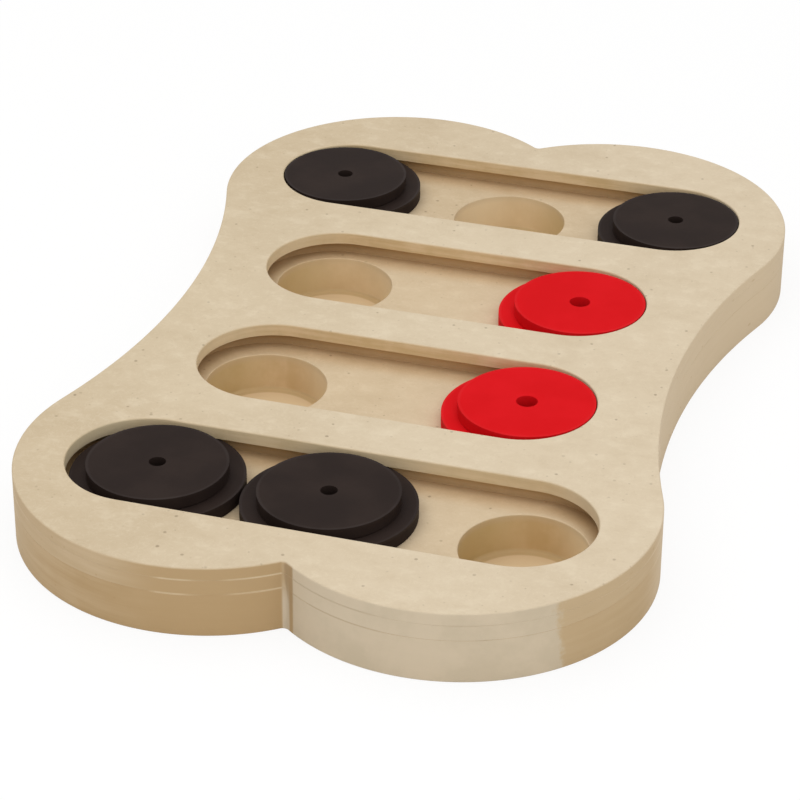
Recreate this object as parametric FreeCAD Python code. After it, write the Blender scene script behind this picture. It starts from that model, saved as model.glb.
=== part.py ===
import FreeCAD, Part
import math
import os

# Sliding puzzle feeder for dogs: a bone-shaped board laminated from three sheets of fibreboard.
# The top sheet has four narrow slots, the middle sheet four wider channels, and the base sheet
# ten round wells for treats. Together they make T-shaped tracks. Six round sliders run in them:
# each is a wide flange, trapped under the lips of the track, with a narrower knob glued on top.
#
# The frame: X runs along the tracks, Y along the bone, Z up. The origin is at the bottom centre.
# Millimetres throughout.

# Sheets, from the bottom up
base_sheet = 15.0            # thickness of the sheet with the wells
channel_sheet = 5.2          # thickness of the sheet with the channels
lip_sheet = 4.3              # thickness of the sheet with the slots
edge_bevel = 0.6             # sanded bevel on the upper edges of the top sheet
foot_bevel = 0.6             # sanded bevel on the lower edge of the base sheet

# Tracks
slot_width = 50.0            # open width between the lips
bridge = 21.35               # top sheet left between two neighbouring slots
long_slot = 171.8            # length of the two outer slots
short_slot = 135.8           # length of the two inner slots
lip_overlap = 3.0            # how far a flange reaches under each lip

# Outline, as wood left round the slots
end_rim = 17.6               # wood beyond an outer slot's end, at the widest part of a lobe
side_rim = 31.3              # wood beyond an outer slot's side, at the end of the bone
waist_rim = 19.3             # wood beyond an inner slot's end, at the waist
lobe_inset = 7.2             # how far a lobe's centre lies inside the outer track's line
notch_radius = 2.0           # round inner corner where two lobes meet

# Wells in the base sheet
well_diameter = 40.6
well_depth = 13.0
well_corner = 1.2            # small slope between a well's wall and its floor

# Sliders
knob_side_gap = 2.35         # from a knob to the slot's side
knob_end_gap = 0.3           # from a knob to the slot's end when it is pushed right home
knob_drop = 0.3              # how far a knob's top lies under the board's top
flange_side_gap = 0.5        # from a flange to the channel's wall
flange_lift_gap = 0.4        # from a flange to the lips above it
black_hole = 5.5             # diameter of the scent hole through a black slider
red_hole = 7.1               # diameter of the scent hole through a red slider
slider_bevel = 0.5           # bevel on the upper rims of knobs and flanges

# Where the two sliders in the nearest track rest
near_left_shift = 6.55       # how far the left one stands from the left end of its run
neighbour_gap = 0.8          # between its flange and that of the slider to its right

same_height = 1e-6           # heights closer than this count as equal

# Sizes that follow from those above
channel_floor = base_sheet
channel_top = base_sheet + channel_sheet
board_top = channel_top + lip_sheet
slot_radius = slot_width / 2
knob_radius = slot_radius - knob_side_gap
flange_radius = slot_radius + lip_overlap
channel_radius = flange_radius + flange_side_gap
flange_height = channel_sheet - flange_lift_gap
knob_base = channel_floor + flange_height
knob_height = board_top - knob_drop - knob_base
pitch = slot_width + bridge
long_stop = long_slot / 2 - knob_end_gap - knob_radius
short_stop = short_slot / 2 - knob_end_gap - knob_radius

near_left_place = near_left_shift - long_stop
near_centre_place = near_left_place + 2 * flange_radius + neighbour_gap

# Tracks as (place on Y, slot length, where a slider stops, wells)
long_wells = (-long_stop, 0, long_stop)
short_wells = (-short_stop, short_stop)
TRACKS = {
    "far": (1.5 * pitch, long_slot, long_stop, long_wells),
    "second": (0.5 * pitch, short_slot, short_stop, short_wells),
    "third": (-0.5 * pitch, short_slot, short_stop, short_wells),
    "near": (-1.5 * pitch, long_slot, long_stop, long_wells),
}

# Sliders as (name, track, place on X at rest, hole diameter)
SLIDERS = [
    ("far_left", "far", -long_stop, black_hole),
    ("far_right", "far", long_stop, black_hole),
    ("second_track", "second", short_stop, red_hole),
    ("third_track", "third", short_stop, red_hole),
    ("near_left", "near", near_left_place, black_hole),
    ("near_centre", "near", near_centre_place, black_hole),
]


def point(x, y, z=0.0):
    return FreeCAD.Vector(x, y, z)


def arc_on(centre, radius, start, end):
    """The shorter arc about a centre, between two points that lie on its circle."""
    middle = (start + end) * 0.5 - centre
    middle.normalize()
    return Part.Arc(start, centre + middle * radius, end).toShape()


def between(centre, radius, other):
    """The point of a circle that lies towards another circle's centre."""
    direction = other - centre
    direction.normalize()
    return centre + direction * radius


def mirrored(shape, normal):
    return shape.mirror(point(0, 0, 0), normal)


def bone_outline():
    """Four round lobes, joined by a hollow waist on the sides and a rounded notch at each end."""
    lobe_radius = slot_radius + side_rim + lobe_inset
    lobe = point(long_slot / 2 + end_rim - lobe_radius, 1.5 * pitch - lobe_inset)
    waist = short_slot / 2 + waist_rim
    step = waist - lobe.x
    waist_radius = (step**2 + lobe.y**2 - lobe_radius**2) / (2 * (lobe_radius - step))
    waist_centre = point(waist + waist_radius, 0)
    notch = point(0, lobe.y + math.sqrt((lobe_radius + notch_radius) ** 2 - lobe.x**2))
    flank = between(lobe, lobe_radius, waist_centre)
    crown = between(lobe, lobe_radius, notch)
    outermost = point(lobe.x + lobe_radius * math.cos(math.pi / 4), lobe.y + lobe_radius * math.sin(math.pi / 4))
    quarter = [
        arc_on(waist_centre, waist_radius, point(waist, 0), flank),
        Part.Arc(flank, outermost, crown).toShape(),
        arc_on(notch, notch_radius, crown, point(0, notch.y - notch_radius)),
    ]
    half = quarter + [mirrored(edge, point(1, 0, 0)) for edge in quarter]
    whole = half + [mirrored(edge, point(0, 1, 0)) for edge in half]
    return Part.Face(Part.Wire(Part.__sortEdges__(whole)))


def sheet(bottom, thickness):
    face = bone_outline()
    face.translate(point(0, 0, bottom))
    return face.extrude(point(0, 0, thickness))


def track_cutter(track, reach, radius, bottom, height):
    """A long round-ended block along X: reach is where its end arcs are centred."""
    y = track[0]
    upper = y + radius
    lower = y - radius
    edges = [
        Part.LineSegment(point(-reach, lower), point(reach, lower)).toShape(),
        Part.Arc(point(reach, lower), point(reach + radius, y), point(reach, upper)).toShape(),
        Part.LineSegment(point(reach, upper), point(-reach, upper)).toShape(),
        Part.Arc(point(-reach, upper), point(-reach - radius, y), point(-reach, lower)).toShape(),
    ]
    face = Part.Face(Part.Wire(edges))
    face.translate(point(0, 0, bottom))
    return face.extrude(point(0, 0, height))


def turned(profile):
    """A solid of revolution about Z. Its profile is a list of (radius, height) corners."""
    corners = [point(radius, 0, height) for radius, height in profile]
    face = Part.Face(Part.makePolygon(corners + corners[:1]))
    return face.revolve(point(0, 0, 0), point(0, 0, 1), 360)


def level_edges(solid, height):
    """The edges that lie flat at one height."""
    return [
        edge for edge in solid.Edges
        if all(abs(corner.Z - height) < same_height for corner in edge.Vertexes)
        and abs(edge.CenterOfMass.z - height) < same_height
    ]


def top_board():
    board = sheet(channel_top, lip_sheet)
    for track in TRACKS.values():
        reach = track[1] / 2 - slot_radius
        board = board.cut(track_cutter(track, reach, slot_radius, channel_top, lip_sheet))
    return board.makeChamfer(edge_bevel, level_edges(board, board_top))


def channel_board():
    board = sheet(channel_floor, channel_sheet)
    for track in TRACKS.values():
        board = board.cut(track_cutter(track, track[2], channel_radius, channel_floor, channel_sheet))
    return board


def well_cutter():
    """A flat-floored well with its mouth at the top of the base sheet."""
    radius = well_diameter / 2
    floor = base_sheet - well_depth
    return turned([
        (0, floor),
        (radius - well_corner, floor),
        (radius, floor + well_corner),
        (radius, base_sheet),
        (0, base_sheet),
    ])


def base_board():
    board = sheet(0, base_sheet)
    board = board.makeChamfer(foot_bevel, level_edges(board, 0))
    for track in TRACKS.values():
        for place in track[3]:
            well = well_cutter()
            well.translate(point(place, track[0]))
            board = board.cut(well)
    return board


def disc(radius, hole, bottom, height):
    """A flat ring with a bevelled upper rim."""
    top = bottom + height
    return turned([
        (hole / 2, bottom),
        (radius, bottom),
        (radius, top - slider_bevel),
        (radius - slider_bevel, top),
        (hole / 2, top),
    ])


def slider_pieces(slider):
    """The flange and the knob of one slider, at its place in its track."""
    name, track, place, hole = slider
    pieces = {
        "slider_" + name + "_flange": disc(flange_radius, hole, channel_floor, flange_height),
        "slider_" + name + "_knob": disc(knob_radius, hole, knob_base, knob_height),
    }
    for piece in pieces.values():
        piece.translate(point(place, TRACKS[track][0]))
    return pieces


def main():
    os.makedirs("parts", exist_ok=True)
    pieces = {
        "top_board": top_board(),
        "channel_board": channel_board(),
        "base_board": base_board(),
    }
    for slider in SLIDERS:
        pieces.update(slider_pieces(slider))
    for name, shape in pieces.items():
        shape.exportStep(os.path.join("parts", name + ".step"))


main()
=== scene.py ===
import math

import bmesh
import bpy
from mathutils import Matrix, Vector
from mathutils.geometry import tessellate_polygon


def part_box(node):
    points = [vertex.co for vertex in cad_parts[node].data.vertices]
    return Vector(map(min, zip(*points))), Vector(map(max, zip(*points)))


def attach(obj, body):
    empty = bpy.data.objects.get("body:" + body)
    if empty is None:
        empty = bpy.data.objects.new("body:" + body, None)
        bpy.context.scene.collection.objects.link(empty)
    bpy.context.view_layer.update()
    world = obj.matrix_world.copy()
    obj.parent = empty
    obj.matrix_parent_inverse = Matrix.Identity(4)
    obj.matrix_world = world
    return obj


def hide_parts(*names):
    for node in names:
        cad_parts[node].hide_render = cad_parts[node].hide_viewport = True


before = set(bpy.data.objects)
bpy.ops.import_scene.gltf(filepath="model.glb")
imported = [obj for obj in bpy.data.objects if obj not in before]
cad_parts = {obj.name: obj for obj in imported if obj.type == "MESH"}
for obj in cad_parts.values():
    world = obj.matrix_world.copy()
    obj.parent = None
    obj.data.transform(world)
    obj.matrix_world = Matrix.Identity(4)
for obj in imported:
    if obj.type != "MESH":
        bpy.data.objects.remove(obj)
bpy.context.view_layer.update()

# Sizes in metres. Heights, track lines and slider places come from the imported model.
MM = 0.001
base_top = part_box("base_board")[1].z
channel_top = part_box("channel_board")[1].z
board_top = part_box("top_board")[1].z

# Tracks and wells
slot_width = 50 * MM
long_slot = 171.8 * MM
short_slot = 135.8 * MM
lip_overlap = 3 * MM
flange_side_gap = 0.5 * MM
well_radius = 20.3 * MM
well_floor = 1.5 * MM

# Outline of the bone
end_rim = 17.6 * MM
side_rim = 31.3 * MM
waist_rim = 19.3 * MM
lobe_inset = 7.2 * MM
notch_radius = 2 * MM

# Worked edges
edge_round = 0.6 * MM        # sanded upper edges of the board
foot_round = 0.6 * MM        # lower edge of the board
glue_groove = 0.06 * MM      # where two sheets meet on the side
well_corner = 1.2 * MM       # between a well's wall and its floor
well_lip = 0.4 * MM          # broken edge at a well's mouth
well_wear = 2.8 * MM         # how far down from its mouth a well's wall is worn paler
floor_shade = 2.3 * MM       # width of the ring of painted shade round a well's floor
knob_round = 0.5 * MM        # rim of a knob or a flange
hole_round = 0.25 * MM       # upper edge of a scent hole
sharp_turn = math.radians(50)    # an edge that turns more than this is shaded sharp

# Fineness of the round forms
lobe_steps = 110
waist_steps = 48
notch_steps = 12
slot_end_steps = 44
well_steps = 96
round_steps = 5
disc_steps = 168


def middle(node):
    """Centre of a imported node's box."""
    low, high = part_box(node)
    return (low + high) / 2


far_y = middle("slider_far_right_flange").y
second_y = middle("slider_second_track_flange").y
long_stop = middle("slider_far_right_flange").x
short_stop = middle("slider_second_track_flange").x
slot_radius = slot_width / 2
channel_radius = slot_radius + lip_overlap + flange_side_gap

# Each track as (line on Y, slot length, where a slider stops, wells on X)
long_wells = (-long_stop, 0.0, long_stop)
short_wells = (-short_stop, short_stop)
TRACKS = [
    (far_y, long_slot, long_stop, long_wells),
    (second_y, short_slot, short_stop, short_wells),
    (-second_y, short_slot, short_stop, short_wells),
    (-far_y, long_slot, long_stop, long_wells),
]
# Three of the wells in view were bored a little off their places: (line on Y, place on X) and the shift
BORED_OFF = {
    (far_y, 0.0): (1.0 * MM, -1.3 * MM),
    (second_y, -short_stop): (0.0, 2.8 * MM),
    (-far_y, long_stop): (0.5 * MM, -1.0 * MM),
}
SLIDERS = {
    "far_left": "black_paint",
    "far_right": "black_paint",
    "second_track": "red_paint",
    "third_track": "red_paint",
    "near_left": "black_paint",
    "near_centre": "black_paint",
}


class Field:
    """An output socket. Sums written with it add Math nodes to its tree."""

    def __init__(self, tree, socket):
        self.tree = tree
        self.socket = socket

    def maths(self, operation, *values):
        node = self.tree.nodes.new("ShaderNodeMath")
        node.operation = operation
        for socket, value in zip(node.inputs, values):
            plug(self.tree, socket, value)
        return Field(self.tree, node.outputs[0])

    def __add__(self, other):
        return self.maths("ADD", self, other)

    def __radd__(self, other):
        return self.maths("ADD", other, self)

    def __sub__(self, other):
        return self.maths("SUBTRACT", self, other)

    def __rsub__(self, other):
        return self.maths("SUBTRACT", other, self)

    def __mul__(self, other):
        return self.maths("MULTIPLY", self, other)

    def __rmul__(self, other):
        return self.maths("MULTIPLY", other, self)

    def __truediv__(self, other):
        return self.maths("DIVIDE", self, other)

    def __gt__(self, other):
        return self.maths("GREATER_THAN", self, other)

    def __lt__(self, other):
        return self.maths("LESS_THAN", self, other)

    def __abs__(self):
        return self.maths("ABSOLUTE", self)

    def least(self, other):
        return self.maths("MINIMUM", self, other)

    def most(self, other):
        return self.maths("MAXIMUM", self, other)

    def root(self):
        return self.maths("SQRT", self)


def plug(tree, socket, value):
    """Links a field to a socket, or sets a plain value on it."""
    if isinstance(value, Field):
        tree.links.new(value.socket, socket)
    else:
        socket.default_value = value


class Graph:
    """A node tree with one way to add any node."""

    def __init__(self, tree):
        self.tree = tree

    def node(self, kind, settings=None, sockets=None, output=0):
        """Adds a node, sets its settings and then its sockets, and returns one of its outputs, if any."""
        made = self.tree.nodes.new(kind)
        for name, value in (settings or {}).items():
            setattr(made, name, value)
        for name, value in (sockets or {}).items():
            plug(self.tree, made.inputs[name], value)
        return Field(self.tree, made.outputs[output]) if made.outputs else None


class Finish(Graph):
    """A material: a Principled shader and the patterns that feed it."""

    def __init__(self, name, **constants):
        self.material = bpy.data.materials.new(name)
        self.material.use_nodes = True
        super().__init__(self.material.node_tree)
        self.shader = self.tree.nodes["Principled BSDF"]
        for socket, value in constants.items():
            self.shader.inputs[socket.replace("_", " ")].default_value = value
        self.place = self.node("ShaderNodeTexCoord", output="Object")

    def stretched(self, x, y, z):
        """Object coordinates with each axis scaled."""
        return self.node("ShaderNodeMapping", sockets={"Vector": self.place, "Scale": (x, y, z)})

    def noise(self, scale, detail=2.0, roughness=0.5, place=None, distortion=0.0):
        sockets = {
            "Vector": place or self.place,
            "Scale": scale,
            "Detail": detail,
            "Roughness": roughness,
            "Distortion": distortion,
        }
        return self.node("ShaderNodeTexNoise", sockets=sockets)

    def ramp(self, value, low, high):
        """0 at low and 1 at high, with an eased change between."""
        sockets = {"Value": value, "From Min": low, "From Max": high}
        return self.node("ShaderNodeMapRange", {"interpolation_type": "SMOOTHSTEP"}, sockets)

    def blend(self, amount, first, second, mode="MIX"):
        """One colour over another."""
        settings = {"data_type": "RGBA", "blend_type": mode}
        sockets = {0: amount, 6: first, 7: second}
        return self.node("ShaderNodeMix", settings, sockets, output=2)

    def tint(self, amount, colour, by):
        """A colour, as much as amount says darkened by another."""
        return self.blend(amount, colour, by, "MULTIPLY")

    def band(self, value, low, high, soft):
        """1 between low and high, and 0 beyond them, with a soft change at both."""
        return self.ramp(value, low - soft, low) * self.ramp(value, high + soft, high)

    def attribute(self, name):
        return self.node("ShaderNodeAttribute", {"attribute_name": name}, output="Fac")

    def along(self, axis):
        return self.node("ShaderNodeSeparateXYZ", sockets={"Vector": self.place}, output=axis)

    def flecks(self, scale, radius, place=None):
        """Small dark fibres: one in about every fifth cell. The radius is a share of the cell."""
        cells = {"Vector": place or self.place, "Scale": scale}
        flat = {"voronoi_dimensions": "2D"}
        near = self.node("ShaderNodeTexVoronoi", flat, cells, output="Distance")
        ticket = self.node("ShaderNodeTexVoronoi", flat, cells, output="Color")
        red = self.node("ShaderNodeSeparateColor", sockets={"Color": ticket}, output="Red")
        green = self.node("ShaderNodeSeparateColor", sockets={"Color": ticket}, output="Green")
        ragged = near + (self.noise(420, 2, 0.6) - 0.5) * 0.09
        return (1 - self.ramp(ragged, radius * 0.35, radius)) * (red > 0.78) * (0.35 + green * 0.65)

    def feed(self, socket, value):
        plug(self.tree, self.shader.inputs[socket], value)

    def relief(self, height, depth, strength=1.0):
        """A fine relief, in metres, from a pattern between 0 and 1."""
        sockets = {"Strength": strength, "Distance": depth, "Height": height}
        self.feed("Normal", self.node("ShaderNodeBump", sockets=sockets))


def from_midline(x, y):
    """How far a point lies from the line along which the nearest track's sliders run."""
    spans = []
    for line, stop in ((far_y, long_stop), (second_y, short_stop)):
        beyond = (abs(x) - stop).most(0.0)
        aside = abs(y) - line
        spans.append((beyond * beyond + aside * aside).root())
    return spans[0].least(spans[1])


def bored_wells():
    """Each well as (its track's line on Y, its middle on X, its middle on Y)."""
    wells = []
    for line, _, _, places in TRACKS:
        for place in places:
            off_x, off_y = BORED_OFF.get((line, place), (0.0, 0.0))
            wells.append((line, place + off_x, line + off_y))
    return wells


def from_well(x, y):
    """How far a point lies from the middle of the nearest well."""
    spans = []
    for _, middle_x, middle_y in bored_wells():
        aside = x - middle_x
        beyond = y - middle_y
        spans.append((aside * aside + beyond * beyond).root())
    nearest = spans[0]
    for span in spans[1:]:
        nearest = nearest.least(span)
    return nearest


# Colours of the board's faces and of the tracks' floors. The faces' left and right colours differ by painted
# light, and the floors' tints are painted shade
skin_left = (0.556, 0.452, 0.308, 1)
skin_right = (0.620, 0.520, 0.378, 1)
skin_shade = (0.900, 0.880, 0.850, 1)
# Painted shade on the tracks' sunken floors
recess_shade = (0.965, 0.915, 0.850, 1)
# Painted shade on a track's floor by its wall
wall_shade_tint = (0.970, 0.850, 0.710, 1)
fibre_pale = (0.790, 0.700, 0.540, 1)
fleck = (0.200, 0.145, 0.090, 1)

# Colours of its sawn side, of the filling, of the glue lines, and of the painted shade in the notch
cut_pale = (0.500, 0.365, 0.215, 1)
cut_brown = (0.425, 0.292, 0.150, 1)
cut_grey = (0.620, 0.510, 0.360, 1)
cut_olive = (0.470, 0.352, 0.208, 1)
filled_edge = (0.570, 0.482, 0.358, 1)
filled_shade = (0.520, 0.442, 0.325, 1)
notch_shade_brown = (0.300, 0.205, 0.110, 1)
seam_pale = (0.700, 0.580, 0.400, 1)
seam_dark = (0.380, 0.300, 0.200, 1)

# Colours of the wells, of the channels' walls and of the lips. Some paint light and shade: the olive and
# light colours on a well's two sides, the ring round a well's floor, and the channels' browns in the tracks
bored_pale = (0.690, 0.520, 0.310, 1)
bored_brown = (0.590, 0.420, 0.222, 1)
bored_floor = (0.650, 0.490, 0.298, 1)
bored_near = (0.570, 0.400, 0.175, 1)
well_ring_shade = (0.520, 0.375, 0.195, 1)
bored_olive = (0.500, 0.375, 0.175, 1)
bored_light = (0.800, 0.670, 0.460, 1)
# The brown of a cut wall and of the side's flecks, also the colour of painted shade in the tracks
channel_brown = (0.335, 0.200, 0.078, 1)
channel_tan = (0.520, 0.335, 0.152, 1)
lip_gold = (0.560, 0.400, 0.200, 1)
lip_pale = (0.680, 0.585, 0.400, 1)

# Where the finish changes along the board, as (where the change starts, where it is full)
skin_lit_right = (-105 * MM, 60 * MM)       # on X: the faces are paler on the right, a painted light
waist_paler = (105 * MM, 60 * MM)       # off the middle on Y: and at the waist
waist_left = (60 * MM, -10 * MM)        # on X: there on its left half only
lit_past_left_end = (-60 * MM, -15 * MM)    # on X: a channel right of its left end, where the painted shade on its floor and wall is lighter
shaded_long_ends = (58 * MM, 78 * MM)          # off the middle on X: painted shade on the floor at the long tracks' ends
lit_right_ends = (62 * MM, 80 * MM)         # on X: less painted shade on the channels' walls at the long tracks' right ends
far_wells = (-60 * MM, 130 * MM)        # on Y: the wells are paler towards the far end
near_wells = (-40 * MM, -100 * MM)      # on Y: and browner towards the near end
near_lips = (-10 * MM, -100 * MM)       # on Y: the lips are paler towards the near end
near_end = (-90 * MM, -110 * MM)        # on Y: the side round the near end
left_lobes = (-70 * MM, -100 * MM)      # on X: the side is greyer on the left lobes
past_front = (-122 * MM, -84 * MM)      # on Y: and behind the near lobes' fronts
tan_right = (60 * MM, 78 * MM)          # on X: the near right lobe is browner past its filling
tan_front = (-102 * MM, -122 * MM)      # on Y: there on its front only

# On the near end's side, from and to on X
lobe_shade_span = (-34 * MM, -2 * MM)       # painted shade: the darkest part of the left lobe, beside the notch
filling = (3.7 * MM, 84 * MM)           # filled and paler on the right lobe
notch_light = (-0.2 * MM, 1.7 * MM)     # a pale strip in the notch
notch_shade_span = (2.0 * MM, 3.3 * MM)       # and a dark strip of painted shade beside it
lobe_shade_soft = 22 * MM
strip_soft = 0.7 * MM

face_slack = 0.02 * MM                  # a height this close to a sheet's face is on the face


class Fibreboard(Finish):
    """Bare sanded fibreboard: a pale pressed skin, and tan edges where it was cut or bored, with painted
    light and shade across it.
    """

    def __init__(self):
        super().__init__("fibreboard", Specular_IOR_Level=0.15)
        self.x = self.along("X")
        self.y = self.along("Y")
        self.z = self.along("Z")
        self.side = self.attribute("side")
        self.from_midline = from_midline(self.x, self.y)
        self.lit_past_left_end = self.ramp(self.x, *lit_past_left_end)
        self.grit = self.noise(850, 3, 0.7)
        self.spots = self.noise(70, 4, 0.6)
        self.streaks = self.noise(1, 4, 0.6, self.stretched(30, 30, 520))
        strands = self.noise(300, 2, 0.6, distortion=0.9)
        self.hairs = 1 - self.ramp(abs(strands - 0.5), 0.0, 0.035)

        skin = self.pressed_skin()
        floor = self.track_floor(skin)
        skin = self.blend(self.z < (base_top + face_slack), skin, floor)
        bored = self.blend(self.z > (channel_top - face_slack / 2), self.well_wall(), self.lip_wall(skin))
        in_channel = (self.z > (base_top + face_slack)) * (self.z < (channel_top - face_slack))
        bored = self.blend(in_channel, bored, self.channel_wall(floor))

        edge = self.attribute("cut")
        colour = self.blend(edge, skin, self.sawn_side())
        colour = self.blend(self.attribute("bored"), colour, bored)
        self.feed("Base Color", colour)
        self.feed("Roughness", 0.60 + self.grit * 0.14 + edge * 0.08)
        self.relief(self.grit * 0.6 + self.hairs * 0.2 + self.streaks * edge * 0.8, 0.10 * MM, 0.5)

    def pressed_skin(self):
        """A sheet's face: cloudy, with hair-fine fibres, a faint weave and dark flecks, lighter to the right
        as painted light, and darker on the tracks' floors as painted shade.
        """
        # Painted light: the faces grow lighter from left to right
        skin = self.blend(self.ramp(self.x, *skin_lit_right), skin_left, skin_right)
        waist = self.ramp(abs(self.y), *waist_paler) * self.ramp(self.x, *waist_left)
        skin = self.blend(waist * 0.14, skin, fibre_pale)
        cloud = self.noise(26, 4, 0.6)
        skin = self.tint(self.ramp(cloud, 0.58, 0.36) * 0.45, skin, skin_shade)
        skin = self.blend(self.hairs * 0.12, skin, fibre_pale)
        skin = self.blend(self.ramp(self.grit, 0.52, 0.80) * 0.12, skin, cut_brown)
        skin = self.blend(self.flecks(105, 0.072) * 0.60, skin, fleck)
        skin = self.blend(self.flecks(190, 0.085) * 0.30, skin, fleck)
        weave = self.noise(150, 3, 0.65, self.stretched(0.8, 1.1, 1))
        skin = self.blend(self.ramp(weave, 0.50, 0.72) * 0.20, skin, fibre_pale)
        skin = self.tint(self.ramp(weave, 0.50, 0.30) * 0.35, skin, skin_shade)
        # Painted shade: the tracks' floors, sunk under the lips, are darker and warmer
        return self.tint(self.z < (base_top + MM), skin, recess_shade)

    def track_floor(self, skin):
        """The floor in a track, in painted shade: warmer and darker by the wall, and brown along its foot
        and at the long ends.
        """
        # Painted shade: warm by the wall, brown at the wall's foot and at the long tracks' ends
        wall_shade_reach = self.ramp(self.from_midline, channel_radius - 12 * MM, channel_radius - 3 * MM)
        warm_shaded = self.tint(wall_shade_reach * 0.85, skin, wall_shade_tint)
        foot = self.ramp(self.from_midline, channel_radius - 4 * MM, channel_radius)
        foot = foot * (0.38 - self.lit_past_left_end * 0.14)
        end = self.ramp(self.from_midline, well_radius - MM, slot_radius)
        end = end * self.ramp(abs(self.x), *shaded_long_ends) * 0.55
        return self.blend(foot.most(end), warm_shaded, channel_brown)

    def channel_wall(self, floor):
        """The wall under a lip: like the floor at its foot, and brown higher up, as cut brown with painted
        shade under the lip.
        """
        # Painted shade: the wall darkens towards the lip that overhangs it
        brown = 0.20 + self.ramp(self.z, base_top, channel_top - 1.4 * MM) * 0.65
        brown = brown * (1 - self.ramp(self.x, *lit_right_ends) * 0.55)
        wall = self.blend(self.lit_past_left_end, channel_brown, channel_tan)
        return self.blend(brown, floor, wall)

    def well_wall(self):
        """A well: olive on one side and pale on the other as painted shade and painted light, with a ring of
        painted shade round its floor.
        """
        scores = self.noise(1, 3, 0.5, self.stretched(160, 160, 20))
        wall = self.ramp(scores * 0.30 + self.spots * 0.70, 0.38, 0.64)
        wall = self.blend(wall, bored_brown, bored_pale)
        wall = self.blend(self.ramp(self.y, *far_wells) * 0.45, wall, bored_light)
        wall = self.blend(self.ramp(self.y, *near_wells) * 0.35, wall, bored_near)
        # Painted shade on a well's one side and painted light on its other
        wall = self.blend(self.ramp(self.side, -0.05, -0.90) * 0.65, wall, bored_olive)
        wall = self.blend(self.ramp(self.side, 0.05, 0.90) * 0.75, wall, bored_light)
        # Painted shade: a dark ring round a well's floor, where it meets the wall
        shade = well_radius - floor_shade
        ring = self.ramp(from_well(self.x, self.y), shade - 0.5 * MM, shade + 0.3 * MM)
        floor = self.blend(ring, bored_floor, well_ring_shade)
        low = self.ramp(self.z, well_floor + well_corner, well_floor + 0.35 * MM)
        return self.blend(low * 0.92, wall, floor)

    def lip_wall(self, skin):
        """The edge of a lip: gold with pale streaks, like the skin at a slot's right end, and paler at its
        left end as painted light.
        """
        lip = self.ramp(self.streaks * 0.5 + self.spots * 0.5, 0.38, 0.62)
        lip = self.blend(lip, lip_gold, bored_pale)
        lip = self.blend(self.ramp(self.side, 0.0, 0.9) * 0.75, lip, skin)
        # Painted light: the lip's edge at a slot's left end faces right and is paler
        lip = self.blend(self.ramp(self.side, 0.0, -0.9) * 0.60, lip, lip_pale)
        return self.blend(self.ramp(self.y, *near_lips) * 0.35, lip, lip_pale)

    def sawn_side(self):
        """The board's side: streaked tan, with flecks, a filled part, painted shade beside the notch, a pale
        strip and a dark strip of painted shade, and worn glue lines.
        """
        at_near_end = self.ramp(self.y, *near_end)
        patches = self.noise(34, 3, 0.55)
        cut = self.ramp(self.streaks * 0.45 + patches * 0.55, 0.34, 0.68)
        cut = self.blend(cut, cut_brown, cut_pale)
        grey = self.ramp(self.x, *left_lobes) * 0.45
        grey = grey.most(self.ramp(self.y, *past_front) * 0.75)
        grey = grey.most((self.z > base_top) * 0.30)
        cut = self.blend(grey, cut, cut_grey)
        across = self.x * 0.8 - self.y * 0.6
        flat = self.node("ShaderNodeCombineXYZ", sockets={"X": across, "Y": self.z})
        cut = self.blend(self.flecks(170, 0.085, flat) * 0.35, cut, channel_brown)
        # Painted shade on the left lobe's front beside the notch
        brown = self.band(self.x, *lobe_shade_span, lobe_shade_soft) * at_near_end
        cut = self.blend(brown * 0.90, cut, cut_brown)
        tan = self.ramp(self.x, *tan_right) * self.ramp(self.y, *tan_front)
        cut = self.blend(tan * 0.60, cut, cut_olive)

        start, stop = filling
        ragged = self.x + (self.noise(90, 4, 0.7) - 0.5) * 14 * MM
        filled = self.ramp(self.x, start - 0.6 * MM, start)
        filled = filled * self.ramp(ragged, stop + 2 * MM, stop - MM) * at_near_end
        putty = self.blend(self.ramp(self.noise(55, 4, 0.6), 0.40, 0.62), filled_edge, filled_shade)
        cut = self.blend(filled * 0.88, cut, putty)

        high = self.ramp(self.z, 9 * MM, 20 * MM)
        light = self.band(self.x, *notch_light, strip_soft) * at_near_end
        cut = self.blend(light * (0.95 - high * 0.80), cut, filled_edge)
        # Painted shade: a dark strip on one side of the notch, darker higher up
        start, stop = notch_shade_span
        dark = self.band(self.x, start - high * 1.5 * MM, stop, strip_soft) * at_near_end
        cut = self.blend(dark * (0.12 + self.ramp(self.z, 2 * MM, 18 * MM) * 0.36), cut, notch_shade_brown)

        off_seam = abs(self.z - base_top).least(abs(self.z - channel_top))
        seams = 1 - self.ramp(off_seam, 0.08 * MM, 0.45 * MM)
        worn = self.ramp(self.noise(24, 3, 0.6), 0.47, 0.60)
        worn = worn * (0.15 + at_near_end * 0.45) * (1 - filled * 0.3)
        worn = worn * (1 - light) * (1 - dark) * (1 - tan * 0.85)
        return self.blend(seams * worn, cut, self.blend(filled, seam_pale, seam_dark))


# Paints, as (deeper colour, lighter colour, gloss)
PAINTS = {
    "black_paint": ((0.021, 0.014, 0.012, 1), (0.028, 0.019, 0.016, 1), 0.03),
    "red_paint": ((0.600, 0.006, 0.009, 1), (0.640, 0.008, 0.012, 1), 0.015),
}
rim_polish = (-1.2 * MM, -0.5 * MM)     # polished this far inside the rim and this far below the top


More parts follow.
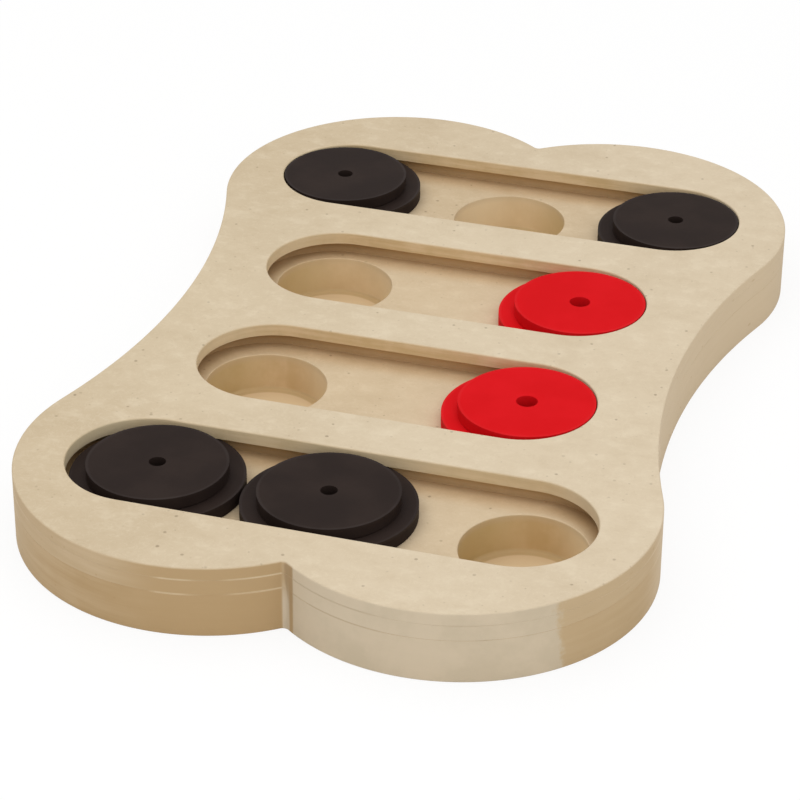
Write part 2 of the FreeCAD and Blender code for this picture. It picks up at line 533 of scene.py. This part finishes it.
def paint(name):
    """Satin paint on a smooth disc. Its rims are a little polished by handling."""
    deep, light, gloss = PAINTS[name]
    coat = Finish(name, Specular_IOR_Level=gloss, Coat_Roughness=0.28)
    mottle = coat.noise(45, 3, 0.55)
    peel = coat.noise(620, 2, 0.5)
    coat.feed("Base Color", coat.blend(coat.ramp(mottle, 0.35, 0.68), deep, light))
    coat.feed("Roughness", 0.46 + mottle * 0.12 + peel * 0.06)
    rim = coat.ramp(coat.attribute("reach"), *rim_polish) * coat.ramp(coat.attribute("rise"), *rim_polish)
    coat.feed("Coat Weight", rim * mottle * 0.16)
    coat.relief(peel, 0.03 * MM, 0.35)
    return coat.material


def arc(centre, radius, start, stop, steps):
    """Points from one angle to another. The last one is left to the next arc."""
    turns = [start + (stop - start) * i / steps for i in range(steps)]
    return [(centre[0] + radius * math.cos(turn), centre[1] + radius * math.sin(turn)) for turn in turns]


def bone_loop(grow):
    """The board's outline, moved outwards by grow."""
    lobe_radius = slot_radius + side_rim + lobe_inset
    lobe_x = long_slot / 2 + end_rim - lobe_radius
    lobe_y = far_y - lobe_inset
    waist = short_slot / 2 + waist_rim
    step = waist - lobe_x
    waist_radius = (step**2 + lobe_y**2 - lobe_radius**2) / (2 * (lobe_radius - step))
    waist_x = waist + waist_radius
    notch_y = lobe_y + math.sqrt((lobe_radius + notch_radius) ** 2 - lobe_x**2)
    flank = math.atan2(lobe_y, waist_x - lobe_x)
    crown = math.atan2(notch_y - lobe_y, -lobe_x)
    half = math.pi
    lobe = lobe_radius + grow
    hollow = waist_radius - grow
    nick = notch_radius - grow
    return (
        arc((waist_x, 0), hollow, half + flank, half - flank, waist_steps)
        + arc((lobe_x, lobe_y), lobe, -flank, crown, lobe_steps)
        + arc((0, notch_y), nick, crown - half, -crown, notch_steps)
        + arc((-lobe_x, lobe_y), lobe, half - crown, half + flank, lobe_steps)
        + arc((-waist_x, 0), hollow, flank, -flank, waist_steps)
        + arc((-lobe_x, -lobe_y), lobe, -half - flank, crown - half, lobe_steps)
        + arc((0, -notch_y), nick, crown, half - crown, notch_steps)
        + arc((lobe_x, -lobe_y), lobe, -crown, flank, lobe_steps)
    )


def slot_loop(y, reach, radius):
    """A long hole with round ends: reach is where the ends are centred."""
    quarter = math.pi / 2
    ends = [((reach, y), -quarter), ((-reach, y), quarter)]
    points = []
    for centre, start in ends:
        turn = math.pi * (slot_end_steps + 1) / slot_end_steps
        points += arc(centre, radius, start, start + turn, slot_end_steps + 1)
    return points


def circle_loop(centre, radius):
    return arc(centre, radius, 0, 2 * math.pi, well_steps)


def rounding(radius, height, upward=True):
    """Steps of a rounded edge as (how far in, height), from the wall to the face."""
    sign = 1 if upward else -1
    turns = [math.pi / 2 * i / round_steps for i in range(round_steps + 1)]
    return [(radius * (1 - math.cos(turn)), height - sign * radius * (1 - math.sin(turn))) for turn in turns]


def placed(name, data):
    """A new object in the scene."""
    made = bpy.data.objects.new(name, data)
    bpy.context.scene.collection.objects.link(made)
    return made


def bake_modifiers(made):
    """Turns the evaluated shape into the object's plain mesh."""
    graph = bpy.context.evaluated_depsgraph_get()
    finished = bpy.data.meshes.new_from_object(made.evaluated_get(graph))
    made.modifiers.clear()
    unfinished = made.data
    made.data = finished
    bpy.data.meshes.remove(unfinished)


def smooth(made):
    """Smooth rounds and flat faces, with an edge where a piece turns sharply."""
    made.data.shade_smooth()
    made.data.set_sharp_from_angle(angle=sharp_turn)
    modifier = made.modifiers.new("flat_faces", "WEIGHTED_NORMAL")
    modifier.keep_sharp = True
    bake_modifiers(made)


class Sheet:
    """A closed board built from rings. Each ring carries how far it is a cut or a bored edge."""

    def __init__(self):
        self.mesh = bmesh.new()
        self.cut = self.mesh.verts.layers.float.new("cut")
        self.bored = self.mesh.verts.layers.float.new("bored")
        self.side = self.mesh.verts.layers.float.new("side")

    def ring(self, loop, height, cut, bored):
        verts = [self.mesh.verts.new((x, y, height)) for x, y in loop]
        for vert in verts:
            vert[self.cut] = cut
            vert[self.bored] = bored
        return verts

    def mark_sides(self, first, centre_x, reach, radius, facing=1):
        """Tells a hole's right end from its left, from 1 to -1, on the points from first on."""
        self.mesh.verts.ensure_lookup_table()
        for vert in self.mesh.verts[first:]:
            aside = vert.co.x - centre_x
            vert[self.side] = math.copysign(max(abs(aside) - reach, 0) / radius, aside * facing)

    def wall(self, loop, steps, bored=0.0):
        """Rings joined one to the next. A step is (how far in, height, cut). Returns the end rings."""
        rings = [self.ring(loop(inset), height, cut, bored * cut) for inset, height, cut in steps]
        for lower, upper in zip(rings, rings[1:]):
            count = len(lower)
            for here in range(count):
                there = (here + 1) % count
                self.mesh.faces.new((lower[here], lower[there], upper[there], upper[here]))
        return rings[0], rings[-1]

    def face(self, rings):
        """Fills the first ring, less the others."""
        verts = [vert for ring in rings for vert in ring]
        for corners in tessellate_polygon([[vert.co for vert in ring] for ring in rings]):
            self.mesh.faces.new([verts[corner] for corner in corners])

    def piece(self, name, material, node):
        """Finishes the board's mesh as one piece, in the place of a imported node."""
        bmesh.ops.recalc_face_normals(self.mesh, faces=self.mesh.faces)
        data = bpy.data.meshes.new(name)
        self.mesh.to_mesh(data)
        self.mesh.free()
        data.materials.append(material)
        made = placed(name, data)
        smooth(made)
        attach(made, "board")
        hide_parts(node)


def fading(steps, top, depth, most=1.0):
    """Adds to each step how far it is a cut edge: less and less over the last depth below top."""
    return [(inset, z, min(1.0, most * (top - z) / depth)) for inset, z in steps]


def outer_steps(low, high, low_round, high_round):
    """The board's side: two eased edges with a plain wall between."""
    foot = [(inset, z, 1.0) for inset, z in rounding(low_round, low, upward=False)][::-1]
    return foot + fading(rounding(high_round, high), high, high_round)


def on_bone(inset):
    return bone_loop(-inset)


def lip_sheet(material):
    sheet = Sheet()
    bottom, top = sheet.wall(on_bone, outer_steps(channel_top, board_top, glue_groove, edge_round))
    bottoms, tops = [bottom], [top]
    steps = [(0, channel_top, 1.0)] + fading(rounding(edge_round, board_top), board_top, edge_round)
    for y, length, _, _ in TRACKS:
        reach = length / 2 - slot_radius
        first = len(sheet.mesh.verts)
        low, high = sheet.wall(lambda inset: slot_loop(y, reach, slot_radius + inset), steps, bored=0.85)
        sheet.mark_sides(first, 0, reach, slot_radius)
        bottoms.append(low)
        tops.append(high)
    sheet.face(bottoms)
    sheet.face(tops)
    sheet.piece("lip_sheet", material, "top_board")


def channel_sheet(material):
    sheet = Sheet()
    bottom, top = sheet.wall(on_bone, outer_steps(base_top, channel_top, glue_groove, glue_groove))
    bottoms, tops = [bottom], [top]
    steps = [(0, base_top, 1.0), (0, channel_top, 1.0)]
    for y, _, stop, _ in TRACKS:
        low, high = sheet.wall(lambda inset: slot_loop(y, stop, channel_radius + inset), steps, bored=1.0)
        bottoms.append(low)
        tops.append(high)
    sheet.face(bottoms)
    sheet.face(tops)
    sheet.piece("channel_sheet", material, "channel_board")


def well_sheet(material):
    sheet = Sheet()
    bottom, top = sheet.wall(on_bone, outer_steps(0, base_top, foot_round, glue_groove))
    sheet.face([bottom])
    tops = [top]
    corner = [(-inset, z, 1.0) for inset, z in rounding(well_corner, well_floor, upward=False)][::-1]
    mouth = fading(rounding(well_lip, base_top), base_top, well_lip, most=0.5)
    steps = corner + [(0, base_top - well_wear, 1.0)] + mouth
    for line, x, y in bored_wells():
        first = len(sheet.mesh.verts)
        floor, rim = sheet.wall(lambda inset: circle_loop((x, y), well_radius + inset), steps, bored=1.0)
        # Painted light on one side: a far well is paler on its left, and any other one on its right
        sheet.mark_sides(first, x, 0, well_radius, -1 if line == far_y else 1)
        sheet.face([floor])
        tops.append(rim)
    sheet.face(tops)
    sheet.piece("well_sheet", material, "base_board")


def turned_disc_tree():
    """A ring turned from a rectangle: its two upper corners are rounded.

    Two attributes tell how far a point lies inside the rim and below the top, in metres.
    """
    tree = bpy.data.node_groups.new("turned_disc", "GeometryNodeTree")
    sockets = [
        ("Radius", "NodeSocketFloat"),
        ("Hole Radius", "NodeSocketFloat"),
        ("Height", "NodeSocketFloat"),
        ("Rim Round", "NodeSocketFloat"),
        ("Hole Round", "NodeSocketFloat"),
        ("Foot", "NodeSocketVector"),
        ("Finish", "NodeSocketMaterial"),
    ]
    for name, kind in sockets:
        tree.interface.new_socket(name, in_out="INPUT", socket_type=kind)
    tree.interface.new_socket("Disc", in_out="OUTPUT", socket_type="NodeSocketGeometry")
    graph = Graph(tree)
    size = {name: graph.node("NodeGroupInput", output=name) for name, _ in sockets}

    width = size["Radius"] - size["Hole Radius"]
    section = graph.node(
        "GeometryNodeCurvePrimitiveQuadrilateral",
        sockets={"Width": width, "Height": size["Height"]},
    )
    spot = graph.node("GeometryNodeInputPosition")
    across = graph.node("ShaderNodeSeparateXYZ", sockets={"Vector": spot}, output="X")
    up = graph.node("ShaderNodeSeparateXYZ", sockets={"Vector": spot}, output="Y")
    outer = across > 0
    upper = up > 0
    corner = upper * (outer * size["Rim Round"] + (1 - outer) * size["Hole Round"])
    section = graph.node(
        "GeometryNodeFilletCurve",
        {"mode": "POLY"},
        {"Curve": section, "Count": round_steps, "Radius": corner},
    )
    path = graph.node(
        "GeometryNodeCurvePrimitiveCircle",
        sockets={"Resolution": disc_steps, "Radius": (size["Radius"] + size["Hole Radius"]) / 2},
    )
    disc = graph.node("GeometryNodeCurveToMesh", sockets={"Curve": path, "Profile Curve": section})
    rise = graph.node("ShaderNodeSeparateXYZ", sockets={"Vector": spot}, output="Z")
    flat = graph.node("ShaderNodeVectorMath", {"operation": "MULTIPLY"}, {0: spot, 1: (1, 1, 0)})
    reach = graph.node("ShaderNodeVectorMath", {"operation": "LENGTH"}, {0: flat}, output="Value")
    for name, value in (("reach", reach - size["Radius"]), ("rise", rise - size["Height"] / 2)):
        disc = graph.node(
            "GeometryNodeStoreNamedAttribute",
            {"data_type": "FLOAT", "domain": "POINT"},
            {"Geometry": disc, "Name": name, "Value": value},
        )
    lift = graph.node("ShaderNodeCombineXYZ", sockets={"Z": size["Height"] / 2})
    place = graph.node("ShaderNodeVectorMath", {"operation": "ADD"}, {0: size["Foot"], 1: lift})
    disc = graph.node("GeometryNodeSetPosition", sockets={"Geometry": disc, "Offset": place})
    disc = graph.node("GeometryNodeRealizeInstances", sockets={"Geometry": disc})
    disc = graph.node("GeometryNodeSetMaterial", sockets={"Geometry": disc, "Material": size["Finish"]})
    graph.node("NodeGroupOutput", sockets={"Disc": disc})
    return tree


def turned_disc(tree, name, node, hole_radius, material, body):
    """One flange or knob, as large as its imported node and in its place."""
    low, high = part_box(node)
    centre = (low + high) / 2
    values = {
        "Radius": (high.x - low.x) / 2,
        "Hole Radius": hole_radius,
        "Height": high.z - low.z,
        "Rim Round": knob_round,
        "Hole Round": hole_round,
        "Foot": (centre.x, centre.y, low.z),
        "Finish": material,
    }
    made = placed(name, bpy.data.meshes.new(name))
    modifier = made.modifiers.new("turning", "NODES")
    modifier.node_group = tree
    for socket in tree.interface.items_tree:
        if socket.in_out == "INPUT":
            modifier[socket.identifier] = values[socket.name]
    bake_modifiers(made)
    smooth(made)
    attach(made, body)
    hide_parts(node)


def hole_radius_of(node):
    """The radius of a packed disc's centre hole: its nearest corner to the axis."""
    centre = middle(node)
    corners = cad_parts[node].data.vertices
    return min(math.hypot(corner.co.x - centre.x, corner.co.y - centre.y) for corner in corners)


def sliders(finishes):
    tree = turned_disc_tree()
    for name, slot in SLIDERS.items():
        for part in ("flange", "knob"):
            node = "slider_" + name + "_" + part
            hole = hole_radius_of(node)
            turned_disc(tree, name + "_" + part, node, hole, finishes[slot], "slider_" + name)


# Camera: where the photograph was taken from, fitted to the four slots
camera_aim = Vector((5.4 * MM, -47.8 * MM, board_top))
camera_distance = 991.7 * MM
camera_azimuth = math.radians(16.69)
camera_elevation = math.radians(30.28)
camera_roll = math.radians(0.43)
camera_lens = 137.0
camera_sensor = 36.0


def turned_to(back):
    """The turn that points a camera or a lamp away from back."""
    return (-back).to_track_quat("-Z", "Y").to_matrix()


def camera():
    back = Vector((
        math.sin(camera_azimuth) * math.cos(camera_elevation),
        -math.cos(camera_azimuth) * math.cos(camera_elevation),
        math.sin(camera_elevation),
    ))
    data = bpy.data.cameras.new("camera")
    data.lens = camera_lens
    data.sensor_width = camera_sensor
    made = placed("camera", data)
    turn = turned_to(back) @ Matrix.Rotation(camera_roll, 3, "Z")
    made.matrix_world = Matrix.Translation(camera_aim + back * camera_distance) @ turn.to_4x4()
    bpy.context.scene.camera = made


# Studio: a white background, soft light from all round, and two lamps as (place, size, power)
white = (1, 1, 1, 1)
warm_white = (1, 0.985, 0.965, 1)
floor_white = (0.92, 0.92, 0.92, 1)
surround_light = 0.64
floor_glow = 0.86            # how far the floor is seen as plain white, and not as a lit floor
floor_reach = 2.5            # from the middle to an edge, in metres
LAMPS = {
    "key": ((-0.25, -0.10, 1.30), 2.0, 12.0),
    "fill": ((0.75, -0.9, 0.75), 1.0, 4.0),
}


def lamp(name):
    """A soft square lamp that points at the board."""
    place, size, power = LAMPS[name]
    data = bpy.data.lights.new(name, "AREA")
    data.shape = "SQUARE"
    data.size = size
    data.energy = power
    made = placed(name, data)
    made.matrix_world = Matrix.Translation(place) @ turned_to(Vector(place)).to_4x4()


def seen_directly(graph):
    """1 for rays from the camera, from gloss and through glass, and 0 for the rest."""
    rays = ["Is Camera Ray", "Is Glossy Ray", "Is Transmission Ray"]
    seen = [graph.node("ShaderNodeLightPath", output=ray) for ray in rays]
    return seen[0].most(seen[1]).most(seen[2])


def surroundings():
    """White where they are seen, and a softer light on the board."""
    world = bpy.data.worlds.new("studio")
    bpy.context.scene.world = world
    world.use_nodes = True
    world.node_tree.nodes.clear()
    graph = Graph(world.node_tree)
    soft = graph.node("ShaderNodeBackground", sockets={"Color": warm_white, "Strength": surround_light})
    plain = graph.node("ShaderNodeBackground", sockets={"Color": white, "Strength": 1.0})
    both = graph.node("ShaderNodeMixShader", sockets={0: seen_directly(graph), 1: soft, 2: plain})
    graph.node("ShaderNodeOutputWorld", sockets={"Surface": both})


def studio_floor():
    """A pale floor that keeps the board's soft shadow."""
    data = bpy.data.meshes.new("floor")
    corners = [(x * floor_reach, y * floor_reach, 0) for x, y in ((-1, -1), (1, -1), (1, 1), (-1, 1))]
    data.from_pydata(corners, [], [(0, 1, 2, 3)])
    floor = placed("floor", data)
    material = bpy.data.materials.new("pale_floor")
    material.use_nodes = True
    material.node_tree.nodes.clear()
    graph = Graph(material.node_tree)
    cover = graph.node("ShaderNodeBsdfDiffuse", sockets={"Color": floor_white})
    glow = graph.node("ShaderNodeEmission", sockets={"Color": white, "Strength": 1.0})
    share = seen_directly(graph) * floor_glow
    mixed = graph.node("ShaderNodeMixShader", sockets={0: share, 1: cover, 2: glow})
    graph.node("ShaderNodeOutputMaterial", sockets={"Surface": mixed})
    data.materials.append(material)


def main():
    bpy.context.scene.view_settings.view_transform = "Standard"
    wood = Fibreboard().material
    lip_sheet(wood)
    channel_sheet(wood)
    well_sheet(wood)
    sliders({name: paint(name) for name in PAINTS})
    camera()
    surroundings()
    studio_floor()
    for name in LAMPS:
        lamp(name)


main()
